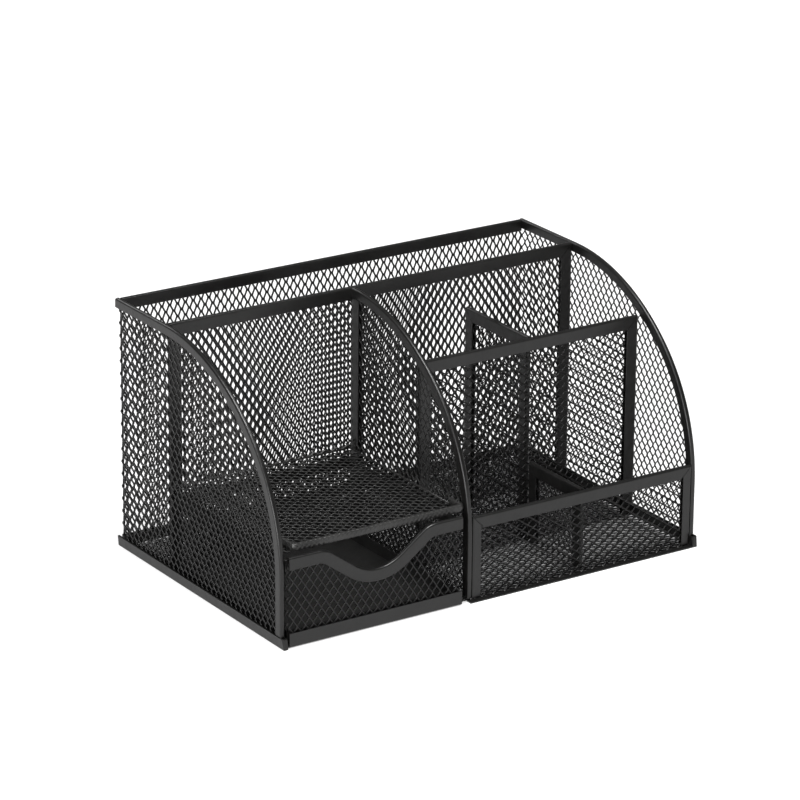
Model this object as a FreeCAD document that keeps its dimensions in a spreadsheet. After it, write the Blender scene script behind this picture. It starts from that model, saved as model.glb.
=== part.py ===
import FreeCAD, Part
import math
import os
import re

import Sketcher

# Desk organizer of black expanded steel mesh: a drawer bay with a shelf on the left, two pairs of
# pen pockets on the right, and a full-width letter slot at the back. Every free edge of the mesh is
# bound with a folded steel strip. Millimetres; origin at the centre of the footprint, Z up, -Y front.

SIZES = [
    ("body_width", 221.8, "over the outer faces of the two side channels"),
    ("body_depth", 139.25, "from the front face of the channels to the outer face of the back strip"),
    ("body_height", 118.9, "top of the channels"),
    ("mesh_thickness", 1.2, "expanded sheet, over its raised strands"),
    ("wall", 0.5, "steel of the folded strips"),
    ("clearance", 0.1, "between a sheet and the strip or panel beside it"),
    ("strip_thickness", 2.4, "a folded strip across the sheet"),
    ("frame_width", 6.0, "in-plane width of the strips round the dividers"),
    ("channel_width", 4.3, "in-plane width of the arched channels"),
    ("short_way", 4.1, "pitch of the mesh across its diamonds"),
    ("long_way", 6.0, "pitch of the mesh along its diamonds"),
    ("strand", 0.8, "width of one strand of the mesh"),
    ("front_radius", 83.0, "arch of the channels above the front leg"),
    ("top_radius", 100.0, "arch of the channels up to the flat top"),
    ("blend_angle", 45.0, "slope at which the two arcs of the arch meet"),
    ("rim_height", 5.0, "strip round the foot of the side and back walls"),
    ("rim_flare", 0.4, "lean of the rim's outer face"),
    ("rim_lead", 2.6, "how far the rim's feet stand ahead of the channels"),
    ("rail_height", 0.6, "flat lip of the base in front of the pen pockets"),
    ("back_width", 5.4, "strip along the top of the back wall"),
    ("front_zone", 95.85, "from the channels' front face to the rear divider"),
    ("drawer_bay", 94.6, "between the left channel and the partition's channel"),
    ("middle_setback", 43.35, "from the channels' front face to the middle divider"),
    ("middle_height", 98.5, "top of the middle and pen dividers"),
    ("pocket_width", 59.75, "between the partition's channel and the pen divider"),
    ("fence_height", 39.5, "top of the fence and of the low divider"),
    ("fence_side_width", 4.5, "strips at the two ends of the fence"),
    ("shelf_level", 42.2, "upper face of the shelf over the drawer"),
    ("shelf_setback", 2.35, "from the channels' front face to the shelf's lip"),
    ("lip_height", 3.4, "doubled front lip of the shelf"),
    ("side_flange", 5.8, "shelf flange along the partition"),
    ("back_flange", 3.0, "shelf flange along the rear divider"),
    ("drawer_width", 89.35, "drawer front"),
    ("drawer_depth", 94.4, "drawer front face to the outer face of the drawer's back strip"),
    ("drawer_lead", 2.15, "drawer front ahead of the channels' front face"),
    ("drawer_gap", 0.85, "between the left channel and the drawer front"),
    ("drawer_lift", 0.3, "running gap under the drawer"),
    ("drawer_headroom", 0.8, "between the drawer's side strips and the shelf"),
    ("drawer_front_top", 42.0, "top edge of the drawer front"),
    ("trim_width", 5.8, "strip that follows the notch of the drawer front"),
    ("foot_trim_width", 6.7, "strip along the foot of the drawer front"),
    ("drawer_rim_width", 5.0, "strips round the top of the drawer's sides and back"),
    ("pan_height", 6.0, "folded-up edge of the drawer's solid bottom"),
    ("notch_depth", 14.5, "finger notch below the drawer front's top edge"),
    ("notch_shift", 0.7, "notch centre to the right of the drawer front's centre"),
    ("notch_radius", 20.0, "round bottom of the notch"),
    ("shoulder_radius", 12.5, "round shoulders of the notch"),
    ("notch_angle", 36.0, "slope of the notch between its arcs"),
    ("overrun", 3.0, "how far a cut runs past what it cuts"),
]
# gaps that one sheet may have, and the share of a whole gap below which a cut one is left out
GAP_LIMIT = 270
SLIVER_SHARE = 0.12
# tangents that stand for each arc of the arch where the gaps of a sheet end
ARC_TANGENTS = 8

doc = FreeCAD.newDocument("DeskOrganizer")
sheet = doc.addObject("Spreadsheet::Sheet", "Sizes")
for row, (alias, number, meaning) in enumerate(SIZES, start=1):
    sheet.set("A%d" % row, meaning)
    sheet.set("B%d" % row, str(number))
    sheet.setAlias("B%d" % row, alias)
doc.recompute()
ALIASES = {alias for alias, number, meaning in SIZES}

# Places that several sub-parts share, as sums of the sheet's sizes.
FRONT = "((rim_lead - body_depth - rim_flare) / 2)"
BACK = "(%s + body_depth)" % FRONT
SIDE_X = "(body_width / 2 - strip_thickness / 2)"
BACK_Y = "(%s - strip_thickness / 2)" % BACK
SIDE_INSET = "(body_width / 2 - strip_thickness)"
EDGE_GAP = "(wall + clearance)"
FOOT = "(mesh_thickness + clearance)"
PARTITION_X = "(drawer_bay + strip_thickness - %s)" % SIDE_X
RIGHT_BAY_X = "(%s + strip_thickness / 2 + clearance)" % PARTITION_X
RIGHT_BAY = "(%s - clearance - %s)" % (SIDE_INSET, RIGHT_BAY_X)
PEN_X = "(%s + strip_thickness + pocket_width)" % PARTITION_X
REAR_Y = "(%s + front_zone)" % FRONT
MIDDLE_Y = "(%s + middle_setback)" % FRONT
MIDDLE_BACK = "(%s + strip_thickness + clearance)" % MIDDLE_Y
FENCE_BACK = "(%s + strip_thickness + clearance)" % FRONT
DRAWER_Y = "(%s - drawer_lead)" % FRONT
DRAWER_X = "(drawer_gap - %s)" % SIDE_INSET
DRAWER_FLOOR = "(mesh_thickness + drawer_lift)"
DRAWER_SIDE_TOP = "(shelf_level - mesh_thickness - drawer_headroom)"
DRAWER_SIDE_Y = "(%s + strip_thickness + clearance)" % DRAWER_Y
SHELF_X = "(clearance - %s)" % SIDE_INSET
SHELF_WIDTH = "(drawer_bay - 2 * clearance)"
SHELF_Y = "(%s + shelf_setback)" % FRONT
SHELF_DEPTH = "(front_zone - shelf_setback - clearance)"


def bound(text):
    """The expression with each size's name pointed at its cell of the sheet."""
    def cell(word):
        """A size's cell, or any other word as it is."""
        return "Sizes." + word.group() if word.group() in ALIASES else word.group()
    return re.sub(r"[a-z_]+", cell, text)


def value(text):
    """The number that an expression in the sheet's sizes gives now."""
    return float(sheet.evalExpression(bound(text)))


def loop(corners, arcs):
    """Lines and arcs through corners given as pairs of expressions; arcs maps an edge's number to its
    radius and to 1 where it turns left or -1 where it turns right. Also gives each edge's first end."""
    spots = [FreeCAD.Vector(value(across), value(up), 0) for across, up in corners]
    edges = []
    heads = []
    for number, start in enumerate(spots):
        end = spots[(number + 1) % len(spots)]
        if number not in arcs:
            edges.append(Part.LineSegment(start, end))
            heads.append(1)
            continue
        radius = value(arcs[number][0])
        turn = arcs[number][1]
        chord = end - start
        left = FreeCAD.Vector(-chord.y, chord.x, 0).normalize()
        middle = (start + end) / 2
        centre = middle + left * (turn * math.sqrt(radius ** 2 - chord.Length ** 2 / 4))
        first, last = (start, end) if turn > 0 else (end, start)
        angles = [math.atan2(spot.y - centre.y, spot.x - centre.x) for spot in (first, last)]
        circle = Part.Circle(centre, FreeCAD.Vector(0, 0, 1), radius)
        edges.append(Part.ArcOfCircle(circle, angles[0], angles[1]))
        heads.append(1 if turn > 0 else 2)
    return edges, heads


def draw(body, name, role, corners, arcs=None):
    """A closed sketch on one of the body's origin planes, with every corner and radius bound."""
    arcs = arcs or {}
    plane = [item for item in body.Origin.OriginFeatures if item.Role == role][0]
    sketch = body.newObject("Sketcher::SketchObject", name)
    sketch.AttachmentSupport = [(plane, "")]
    sketch.MapMode = "FlatFace"
    edges, heads = loop(corners, arcs)
    sketch.addGeometry(edges)
    for number in range(len(edges)):
        follower = (number + 1) % len(edges)
        rule = Sketcher.Constraint("Coincident", number, 3 - heads[number], follower, heads[follower])
        sketch.addConstraint(rule)
    for number, corner in enumerate(corners):
        for kind, text in zip(("DistanceX", "DistanceY"), corner):
            rule = Sketcher.Constraint(kind, -1, 1, number, heads[number], value(text))
            place = sketch.addConstraint(rule)
            sketch.setExpression("Constraints[%d]" % place, bound(text))
        if number in arcs:
            place = sketch.addConstraint(Sketcher.Constraint("Radius", number, value(arcs[number][0])))
            sketch.setExpression("Constraints[%d]" % place, bound(arcs[number][0]))
    return sketch


def new_body(label, place):
    """An empty body whose origin is bound to a place given as three expressions."""
    body = doc.addObject("PartDesign::Body", label)
    body.Label = label
    for axis, text in zip("xyz", place):
        body.setExpression("Placement.Base." + axis, bound(text))
    return body


def pad(body, sketch, length):
    """Steel added to both sides of a sketch."""
    feature = body.newObject("PartDesign::Pad", "Pad")
    feature.Profile = sketch
    feature.SideType = "Symmetric"
    feature.setExpression("Length", bound(length))
    doc.recompute()
    return feature


def pocket(body, sketch, length):
    """A cut to both sides of a sketch, which must take some steel away."""
    before = body.Shape.Volume
    feature = body.newObject("PartDesign::Pocket", "Pocket")
    feature.Profile = sketch
    feature.SideType = "Symmetric"
    feature.setExpression("Length", bound(length))
    doc.recompute()
    if not body.Shape.Volume < before:
        raise RuntimeError("the cut in %s takes nothing away" % body.Label)
    return feature


SLOT = "(mesh_thickness + 2 * clearance)"
PLANES = {"front": "XZ_Plane", "side": "YZ_Plane"}


def folded(label, facing, place, outer, slot, outer_arcs=None, slot_arcs=None):
    """A strip folded over an edge of the mesh: its outline as a plate, then the slot for the sheet."""
    body = new_body(label, place)
    pad(body, draw(body, "Outline", PLANES[facing], outer, outer_arcs), "strip_thickness")
    pocket(body, draw(body, "Slot", PLANES[facing], slot, slot_arcs), SLOT)
    return body


def strip(label, facing, place, edge, length, mitres, width="frame_width"):
    """A straight folded strip whose outer edge is the panel's top, foot, start or end edge; mitres
    gives, for its two ends, the width of the strip met there at 45 degrees or None at a square end."""
    near, far = [mitre or "0" for mitre in mitres]
    along = "%s - %s" % (length, far)
    inner = "%s - wall" % width
    outlines = {
        "top": [(near, "0"), (along, "0"), (length, width), ("0", width)],
        "foot": [("0", "0"), (length, "0"), (along, width), (near, width)],
        "start": [("0", "0"), (width, near), (width, along), ("0", length)],
        "end": [(width, "0"), (width, length), ("0", along), ("0", near)],
    }
    slots = {
        "top": [("0", "0"), (length, "0"), (length, inner), ("0", inner)],
        "foot": [("0", "wall"), (length, "wall"), (length, width), ("0", width)],
        "start": [("wall", "0"), (width, "0"), (width, length), ("wall", length)],
        "end": [("0", "0"), (inner, "0"), (inner, length), ("0", length)],
    }
    return folded(label, facing, place, outlines[edge], slots[edge])


def arch(outside, inside, foot, end):
    """Outline of the arch between two offsets inwards from its outer edge: a straight front leg, the
    front arc, the top arc and the flat top. Offset by offset, both arcs keep their centres."""
    def side(offset):
        """The five corners at one offset, from the foot of the leg to the end of the flat top."""
        centre_up = "body_height - top_radius + (top_radius - front_radius) * sin(blend_angle)"
        centre_across = "front_radius + (top_radius - front_radius) * cos(blend_angle)"
        reach = "(front_radius - %s)" % offset
        return [
            (offset, foot),
            (offset, centre_up),
            ("front_radius - %s * cos(blend_angle)" % reach,
             "%s + %s * sin(blend_angle)" % (centre_up, reach)),
            (centre_across, "body_height - %s" % offset),
            (end, "body_height - %s" % offset),
        ]
    corners = side(outside) + side(inside)[::-1]
    arcs = {
        1: ("front_radius - %s" % outside, -1),
        2: ("top_radius - %s" % outside, -1),
        6: ("top_radius - %s" % inside, 1),
        7: ("front_radius - %s" % inside, 1),
    }
    return corners, arcs


def arched_channel(label, across, foot, end):
    """The channel folded over the arched edge of a wall, from its foot to the end of its flat top."""
    outer, outer_arcs = arch("0", "channel_width", foot, end)
    slot, slot_arcs = arch("wall", "channel_width", foot, end)
    return folded(label, "side", (across, FRONT, "0"), outer, slot, outer_arcs, slot_arcs)


def clipped(points, cuts):
    """A convex polygon cut back to the inner side of each line a * across + b * up = c."""
    for a, b, c in cuts:
        kept = []
        for number, point in enumerate(points):
            former = points[number - 1]
            now = c - a * point[0] - b * point[1]
            then = c - a * former[0] - b * former[1]
            if now * then < 0:
                share = then / (then - now)
                kept.append(tuple(old + share * (new - old) for old, new in zip(former, point)))
            if now >= 0:
                kept.append(point)
        points = kept
    return points


def area(points):
    """Area of a polygon, by the shoelace sum."""
    terms = [points[n - 1][0] * points[n][1] - points[n][0] * points[n - 1][1] for n in range(len(points))]
    return abs(sum(terms)) / 2


def diamonds(window, cuts, upright, keep=None):
    """The gaps of a sheet as polygons: rows of diamonds, every other row shifted by half a pitch, each
    smaller than its tile by the strand, and cut back to the window. A sheet with more gaps than the
    limit has them larger, in the true proportions."""
    left, low, right, high = window
    across, up = value("short_way"), value("long_way")
    if not upright:
        across, up = up, across
    coarse = max(1.0, math.sqrt((right - left) * (high - low) / (across * up / 2) / GAP_LIMIT))
    across, up = across * coarse, up * coarse
    half = 1 - value("strand") * coarse * math.hypot(across, up) / (across * up)
    tile = [(across / 2, 0), (0, up / 2), (-across / 2, 0), (0, -up / 2)]
    whole = area([(half * x, half * y) for x, y in tile])
    least = value("clearance")
    columns = math.ceil((right - left) / across) + 1
    rows = math.ceil((high - low) / (up / 2)) + 1
    start = (left + right - columns * across) / 2
    base = (low + high - rows * up / 2) / 2
    gaps = []
    for row in range(rows + 1):
        for column in range(columns + 1):
            centre = start + (column + (row % 2) / 2) * across, base + row * up / 2
            spots = [(centre[0] + half * x, centre[1] + half * y) for x, y in tile]
            if keep and not all(keep(spot) for spot in spots):
                continue
            spots = clipped(spots, cuts)
            spots = [spot for number, spot in enumerate(spots)
                     if math.dist(spot, spots[number - 1]) > least]
            if len(spots) > 2 and area(spots) > SLIVER_SHARE * whole:
                gaps.append(spots)
    return gaps


def box_cuts(window):
    """The four lines that bound an upright rectangle."""
    left, low, right, high = window
    return [(-1, 0, -left), (1, 0, right), (0, -1, -low), (0, 1, high)]


TURNS = {
    "front": FreeCAD.Rotation(FreeCAD.Vector(1, 0, 0), 90),
    "side": FreeCAD.Rotation(FreeCAD.Vector(1, 1, 1), 120),
    "floor": FreeCAD.Rotation(),
}


def net(label, facing, place, corners, gaps, arcs=None):
    """A flat sheet of expanded mesh as one holed face with its thickness, centred on its plane."""
    thick = value("mesh_thickness")
    rise = FreeCAD.Vector(0, 0, -thick / 2)
    outline = Part.Wire([edge.toShape() for edge in loop(corners, arcs or {})[0]])
    holes = []
    for spots in gaps:
        ring = [FreeCAD.Vector(x, y, 0) for x, y in spots]
        holes.append(Part.makePolygon(ring + ring[:1]))
    face = Part.Face([outline] + holes)
    face.validate()
    face.translate(rise)
    feature = doc.addObject("Part::Feature", label)
    feature.Label = label
    feature.Shape = face.extrude(FreeCAD.Vector(0, 0, thick))
    feature.Placement = FreeCAD.Placement(FreeCAD.Vector(*[value(text) for text in place]), TURNS[facing])
    print("%s: %d gaps" % (label, len(gaps)))
    return feature


def rectangle(width, height):
    """Corners of a rectangle that starts at the panel's origin."""
    return [("0", "0"), (width, "0"), (width, height), ("0", height)]


def flat_net(label, facing, place, width, height, margins, upright):
    """A rectangular sheet whose gaps stop at its bound edges: left, low, right and high margins."""
    left, low, right, high = [value(margin) for margin in margins]
    window = (left, low, value(width) - right, value(height) - high)
    gaps = diamonds(window, box_cuts(window), upright)
    return net(label, facing, place, rectangle(width, height), gaps)


def arched_net(label, across, foot, end, end_margin, foot_margin):
    """A wall sheet under the arch, with its gaps inside the channel and above its foot."""
    outline, arcs = arch(EDGE_GAP, "wall", foot, end)
    corners = outline[:5] + [(end, foot)]
    inner_end = "%s - %s" % (end, end_margin)
    window = [value(text) for text in ("channel_width", foot_margin, inner_end, "body_height")]
    up = value("body_height - top_radius + (top_radius - front_radius) * sin(blend_angle)")
    back = value("front_radius + (top_radius - front_radius) * cos(blend_angle)")
    centres = {"front": (value("front_radius"), up), "top": (back, value("body_height - top_radius"))}
    blend = math.radians(value("blend_angle"))
    cuts = box_cuts(window)
    for part, begin, finish in (("front", 0, blend), ("top", blend, math.pi / 2)):
        reach = value(part + "_radius - channel_width")
        for number in range(ARC_TANGENTS + 1):
            turn = begin + (finish - begin) * number / ARC_TANGENTS
            a, b = -math.cos(turn), math.sin(turn)
            cuts.append((a, b, a * centres[part][0] + b * centres[part][1] + reach))
    kept_arcs = {number: arcs[number] for number in (1, 2)}
    return net(label, "side", (across, FRONT, "0"), corners, diamonds(window, cuts, True), kept_arcs)


def box(label, place, size):
    """A plain folded-up edge or lip of sheet, bound to the sheet's sizes."""
    feature = doc.addObject("Part::Box", label)
    feature.Label = label
    for name, text in zip(("Length", "Width", "Height"), size):
        feature.setExpression(name, bound(text))
    for axis, text in zip("xyz", place):
        feature.setExpression("Placement.Base." + axis, bound(text))
    return feature


def panel(name, facing, place, width, height, sides, upright, side_width="frame_width"):
    """A divider: its sheet and the strips on its top, start and end edges, mitred where they meet."""
    across = {"front": (1, 0), "side": (0, 1)}[facing]
    through = {"front": (0, 1), "side": (1, 0)}[facing]
    x, y, z = place

    def spot(along, rise):
        """A place in the divider, along its foot and up, on its middle plane."""
        centre = ["%s + %d * strip_thickness / 2" % (text, flag) for text, flag in zip((x, y), through)]
        moved = ["%s + (%s) * %d" % (text, along, flag) for text, flag in zip(centre, across)]
        return moved[0], moved[1], "%s + %s" % (z, rise)

    sheet_width = "(%s - 2 * %s)" % (width, EDGE_GAP)
    sheet_height = "(%s - %s)" % (height, EDGE_GAP)
    side_margin = "(%s - %s)" % (side_width, EDGE_GAP)
    margins = (side_margin, "strand", side_margin, "(frame_width - %s)" % EDGE_GAP)
    flat_net(name + "_mesh", facing, spot(EDGE_GAP, "0"), sheet_width, sheet_height, margins, upright)
    strip(name + "_top_strip", facing, spot("0", "%s - frame_width" % height), "top", width,
          (side_width, side_width))
    strip("%s_%s_strip" % (name, sides[0]), facing, spot("0", "0"), "start", height,
          (None, "frame_width"), side_width)
    end = "%s - %s" % (width, side_width)
    strip("%s_%s_strip" % (name, sides[1]), facing, spot(end, "0"), "end", height,
          (None, "frame_width"), side_width)


# The side walls: sheets under arched channels, standing in the rim round the base.
WALL_END = "(body_depth - strip_thickness / 2 + mesh_thickness / 2)"
for name, across in (("left", "-%s" % SIDE_X), ("right", SIDE_X)):
    arched_net(name + "_side_mesh", across, EDGE_GAP, WALL_END, "strand", "rim_height")
    arched_channel(name + "_side_channel", across, "rim_height", "body_depth")

# The back wall: one sheet between the side channels, bound along its top.
BACK_X = "(clearance - %s)" % SIDE_INSET
BACK_LENGTH = "(2 * %s - 2 * clearance)" % SIDE_INSET
flat_net("back_mesh", "front", (BACK_X, BACK_Y, EDGE_GAP), BACK_LENGTH, "(body_height - 2 * %s)" % EDGE_GAP,
         ("strand", "rim_height - %s" % EDGE_GAP, "strand", "back_width - %s" % EDGE_GAP), True)
strip("back_top_strip", "front", (BACK_X, BACK_Y, "body_height - back_width"), "top", BACK_LENGTH,
      (None, None), "back_width")


def rim(label, facing, place, length, outwards):
    """One side of the rim that holds the foot of a wall: a folded strip whose outer face leans out.
    Its section is drawn across the wall, with its outer face first or last."""
    thick = "(strip_thickness + rim_flare)"
    section = [
        ("rim_flare", "0"), (thick, "0"), (thick, "rim_height"), ("%s - wall" % thick, "rim_height"),
        ("%s - wall" % thick, "wall"), ("rim_flare + wall", "wall"), ("rim_flare + wall", "rim_height"),
        ("0", "rim_height"),
    ]
    if outwards > 0:
        section = [("%s - (%s)" % (thick, across), up) for across, up in section]
    body = new_body(label, place)
    pad(body, draw(body, "Section", PLANES[facing], section), length)
    return body


# The base: a rim round three sides, a flat lip in front of the pen pockets, and the floor sheet between
# them. The drawer front hangs over the floor sheet's edge in the drawer bay.
RIM_LENGTH = "(rim_lead + body_depth + rim_flare)"
for name, outwards, across in (("left", -1, "-body_width / 2 - rim_flare"), ("right", 1, SIDE_INSET)):
    side_rim = rim(name + "_base_rim", "front", (across, "0", "0"), RIM_LENGTH, outwards)
    toe = [
        ("-%s / 2" % RIM_LENGTH, "0"),
        ("rim_lead - %s / 2" % RIM_LENGTH, "rim_height"),
        ("-%s / 2" % RIM_LENGTH, "rim_height"),
    ]
    pocket(side_rim, draw(side_rim, "Toe", "YZ_Plane", toe), "2 * (strip_thickness + rim_flare + overrun)")
rim("back_base_rim", "side", ("0", "%s - strip_thickness" % BACK, "0"), "2 * %s" % SIDE_INSET, 1)
RAIL_X = "(%s - strip_thickness / 2)" % PARTITION_X
box("front_rail", (RAIL_X, "%s - rim_lead" % FRONT, "0"),
    ("%s - %s" % (SIDE_INSET, RAIL_X), "rim_lead + wall", "rail_height"))
FLOOR_Y = "(%s + wall + clearance)" % FRONT
FLOOR_DEPTH = "(body_depth - strip_thickness - wall - 2 * clearance)"
flat_net("floor_mesh", "floor", ("clearance - %s" % SIDE_INSET, FLOOR_Y, "mesh_thickness / 2"),
         BACK_LENGTH, FLOOR_DEPTH, ("strand",) * 4, False)

# The rear divider, full width, which makes the letter slot with the back wall.
panel("rear_divider", "front", (BACK_X, REAR_Y, FOOT), BACK_LENGTH, "(body_height - %s)" % FOOT,
      ("left", "right"), True)

# The partition between the drawer bay and the pen pockets: arched like the side walls, with a strip
# down its back edge.
PARTITION_END = "(front_zone - clearance)"
arched_net("partition_mesh", PARTITION_X, FOOT, "(%s - %s)" % (PARTITION_END, EDGE_GAP),
           "(frame_width - %s)" % EDGE_GAP, "%s + strand" % FOOT)
arched_channel("partition_channel", PARTITION_X, FOOT, PARTITION_END)
UNDER_ARCH = ("(body_height - top_radius + sqrt((top_radius - channel_width) ^ 2 - frame_width ^ 2)"
              " - clearance - %s)" % FOOT)
strip("partition_back_strip", "side", (PARTITION_X, "%s + %s - frame_width" % (FRONT, PARTITION_END), FOOT),
      "end", UNDER_ARCH, (None, None))

# The pen pockets: a fence at the front, a low divider behind it, the tall middle divider, and the
# pen divider from there to the rear divider.
panel("middle_divider", "front", (RIGHT_BAY_X, MIDDLE_Y, FOOT), RIGHT_BAY, "(middle_height - %s)" % FOOT,
      ("left", "right"), False)
panel("pen_divider", "side", ("%s - strip_thickness / 2" % PEN_X, MIDDLE_BACK, FOOT),
      "(%s - clearance - %s)" % (REAR_Y, MIDDLE_BACK), "(middle_height - %s)" % FOOT,
      ("front", "back"), True)
panel("low_divider", "side", ("%s - strip_thickness / 2" % PEN_X, FENCE_BACK, FOOT),
      "(%s - clearance - %s)" % (MIDDLE_Y, FENCE_BACK), "(fence_height - %s)" % FOOT,
      ("front", "back"), True)
panel("fence", "front", (RIGHT_BAY_X, FRONT, FOOT), RIGHT_BAY, "(fence_height - %s)" % FOOT,
      ("left", "right"), False, "fence_side_width")

# The shelf over the drawer: a sheet with its edges folded up, the front one doubled into a lip.
SHELF_FACE = "(shelf_level - mesh_thickness)"
flat_net("shelf_mesh", "floor", (SHELF_X, SHELF_Y, "%s + mesh_thickness / 2" % SHELF_FACE),
         SHELF_WIDTH, SHELF_DEPTH,
         ("strand", "strip_thickness", "strip_thickness", "strip_thickness"), False)
box("shelf_front_lip", (SHELF_X, SHELF_Y, "shelf_level"), (SHELF_WIDTH, "strip_thickness", "lip_height"))
box("shelf_side_flange", ("%s + %s - mesh_thickness" % (SHELF_X, SHELF_WIDTH),
                          "%s + strip_thickness + clearance" % SHELF_Y, "shelf_level"),
    ("mesh_thickness", "%s - strip_thickness - clearance" % SHELF_DEPTH, "side_flange"))
box("shelf_back_flange", (SHELF_X, "%s + %s - mesh_thickness" % (SHELF_Y, SHELF_DEPTH), "shelf_level"),
    ("%s - mesh_thickness - clearance" % SHELF_WIDTH, "mesh_thickness", "back_flange"))

# The drawer front: a notched sheet, the strip that follows the notch, and the strip along its foot.
NOTCH_X = "(drawer_width / 2 + notch_shift)"
FACE_HEIGHT = "(drawer_front_top - drawer_lift)"
ROUNDS = "(notch_radius + shoulder_radius)"
SLOPE_RISE = "(notch_depth - %s * (1 - cos(notch_angle)))" % ROUNDS
NOTCH_HALF = "(%s * sin(notch_angle) + %s * cos(notch_angle) / sin(notch_angle))" % (ROUNDS, SLOPE_RISE)


def notch_line(offset):
    """The notched edge at an offset inwards, from left to right: flat, shoulder arc, slope, round
    bottom, slope, shoulder arc, flat. Its arcs keep their centres."""
    shoulder = "(shoulder_radius - %s)" % offset
    bottom = "(notch_radius + %s)" % offset
    start = "(%s - %s)" % (NOTCH_X, NOTCH_HALF)
    top = "(%s - %s)" % (FACE_HEIGHT, offset)
    half = [
        ("0", top),
        (start, top),
        ("%s + %s * sin(notch_angle)" % (start, shoulder),
         "%s - %s * (1 - cos(notch_angle))" % (top, shoulder)),
        ("%s - %s * sin(notch_angle)" % (NOTCH_X, bottom),
         "%s - notch_depth + %s * (1 - cos(notch_angle))" % (top, bottom)),
    ]
    mirrored = [("2 * %s - (%s)" % (NOTCH_X, across), up) for across, up in half[1:]][::-1]
    return half + mirrored + [("drawer_width", top)], shoulder, bottom


upper, upper_shoulder, upper_bottom = notch_line("0")
lower, lower_shoulder, lower_bottom = notch_line("trim_width")
seat, seat_shoulder, seat_bottom = notch_line("wall")
rest, rest_shoulder, rest_bottom = notch_line(EDGE_GAP)


def notch_arcs(shoulder, bottom, lower_shoulder, lower_bottom):
    """The arcs of a band between two notched lines, the first run to the right, the second back."""
    return {
        1: (shoulder, -1), 3: (bottom, 1), 5: (shoulder, -1),
        9: (lower_shoulder, 1), 11: (lower_bottom, -1), 13: (lower_shoulder, 1),
    }


FACE_PLACE = (DRAWER_X, "%s + strip_thickness / 2" % DRAWER_Y, "drawer_lift")
folded("drawer_front_trim", "front", FACE_PLACE, upper + lower[::-1], seat + lower[::-1],
       notch_arcs(upper_shoulder, upper_bottom, lower_shoulder, lower_bottom),
       notch_arcs(seat_shoulder, seat_bottom, lower_shoulder, lower_bottom))
strip("drawer_front_foot_strip", "front", FACE_PLACE, "foot", "drawer_width",
      (None, None), "foot_trim_width")


def under_trim(spot):
    """Whether a point of the drawer front lies below the lower edge of the notched strip."""
    away = abs(spot[0] - value(NOTCH_X))
    bottom = value(lower_bottom)
    angle = math.radians(value("notch_angle"))
    low = value("%s - notch_depth - trim_width" % FACE_HEIGHT)
    if away < bottom * math.sin(angle):
        return spot[1] < low + bottom - math.sqrt(bottom ** 2 - away ** 2)
    slope = low + bottom * (1 - math.cos(angle)) + (away - bottom * math.sin(angle)) * math.tan(angle)
    return spot[1] < min(slope, value("%s - trim_width" % FACE_HEIGHT))


face_outline = [("0", EDGE_GAP), ("0", rest[0][1])] + rest[1:-1]
face_outline += [("drawer_width", rest[-1][1]), ("drawer_width", EDGE_GAP)]
face_window = [value(text) for text in ("strand", "foot_trim_width", "drawer_width - strand", FACE_HEIGHT)]
face_gaps = diamonds(face_window, box_cuts(face_window), True, under_trim)
net("drawer_front_mesh", "front", FACE_PLACE, face_outline, face_gaps,
    {2: (rest_shoulder, -1), 4: (rest_bottom, 1), 6: (rest_shoulder, -1)})

# The drawer's box: mesh sides and back, each bound along its top, round a pan of plain sheet steel.
BOX_DEPTH = "(drawer_depth - strip_thickness - clearance)"
SIDE_HEIGHT = "(%s - %s)" % (DRAWER_SIDE_TOP, DRAWER_FLOOR)
SIDE_MARGINS = ("strand", "strand", "strand", "drawer_rim_width - %s" % EDGE_GAP)
STRIP_RISE = "%s - drawer_rim_width" % DRAWER_SIDE_TOP
for name, across in (("left", "(%s + mesh_thickness / 2)" % DRAWER_X),
                     ("right", "(%s + drawer_width - mesh_thickness / 2)" % DRAWER_X)):
    flat_net("drawer_%s_mesh" % name, "side", (across, DRAWER_SIDE_Y, DRAWER_FLOOR),
             "(%s - strip_thickness / 2 + mesh_thickness / 2)" % BOX_DEPTH,
             "(%s - %s)" % (SIDE_HEIGHT, EDGE_GAP), SIDE_MARGINS, True)
    strip("drawer_%s_strip" % name, "side", (across, DRAWER_SIDE_Y, STRIP_RISE), "top", BOX_DEPTH,
          (None, None), "drawer_rim_width")
INNER_X = "(%s + mesh_thickness / 2 + strip_thickness / 2 + clearance)" % DRAWER_X
INNER_WIDTH = "(drawer_width - mesh_thickness - strip_thickness - 2 * clearance)"
BOX_BACK = "(%s + drawer_depth - strip_thickness / 2)" % DRAWER_Y
flat_net("drawer_back_mesh", "front", (INNER_X, BOX_BACK, DRAWER_FLOOR), INNER_WIDTH,
         "(%s - %s)" % (SIDE_HEIGHT, EDGE_GAP), SIDE_MARGINS, True)
strip("drawer_back_strip", "front", (INNER_X, BOX_BACK, STRIP_RISE), "top", INNER_WIDTH, (None, None),
      "drawer_rim_width")
PAN_X = "(%s + mesh_thickness + clearance)" % DRAWER_X
PAN_WIDTH = "(drawer_width - 2 * (mesh_thickness + clearance))"
PAN_DEPTH = "(%s - strip_thickness / 2 - mesh_thickness / 2 - clearance)" % BOX_DEPTH
pan = new_body("drawer_pan", (PAN_X, "%s + %s / 2" % (DRAWER_SIDE_Y, PAN_DEPTH), DRAWER_FLOOR))
pad(pan, draw(pan, "Block", "XZ_Plane", rectangle(PAN_WIDTH, "pan_height")), PAN_DEPTH)
hollow = [
    ("wall", "wall"), ("%s - wall" % PAN_WIDTH, "wall"), ("%s - wall" % PAN_WIDTH, "pan_height + overrun"),
    ("wall", "pan_height + overrun"),
]
pocket(pan, draw(pan, "Hollow", "XZ_Plane", hollow), "%s - 2 * wall" % PAN_DEPTH)

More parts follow.
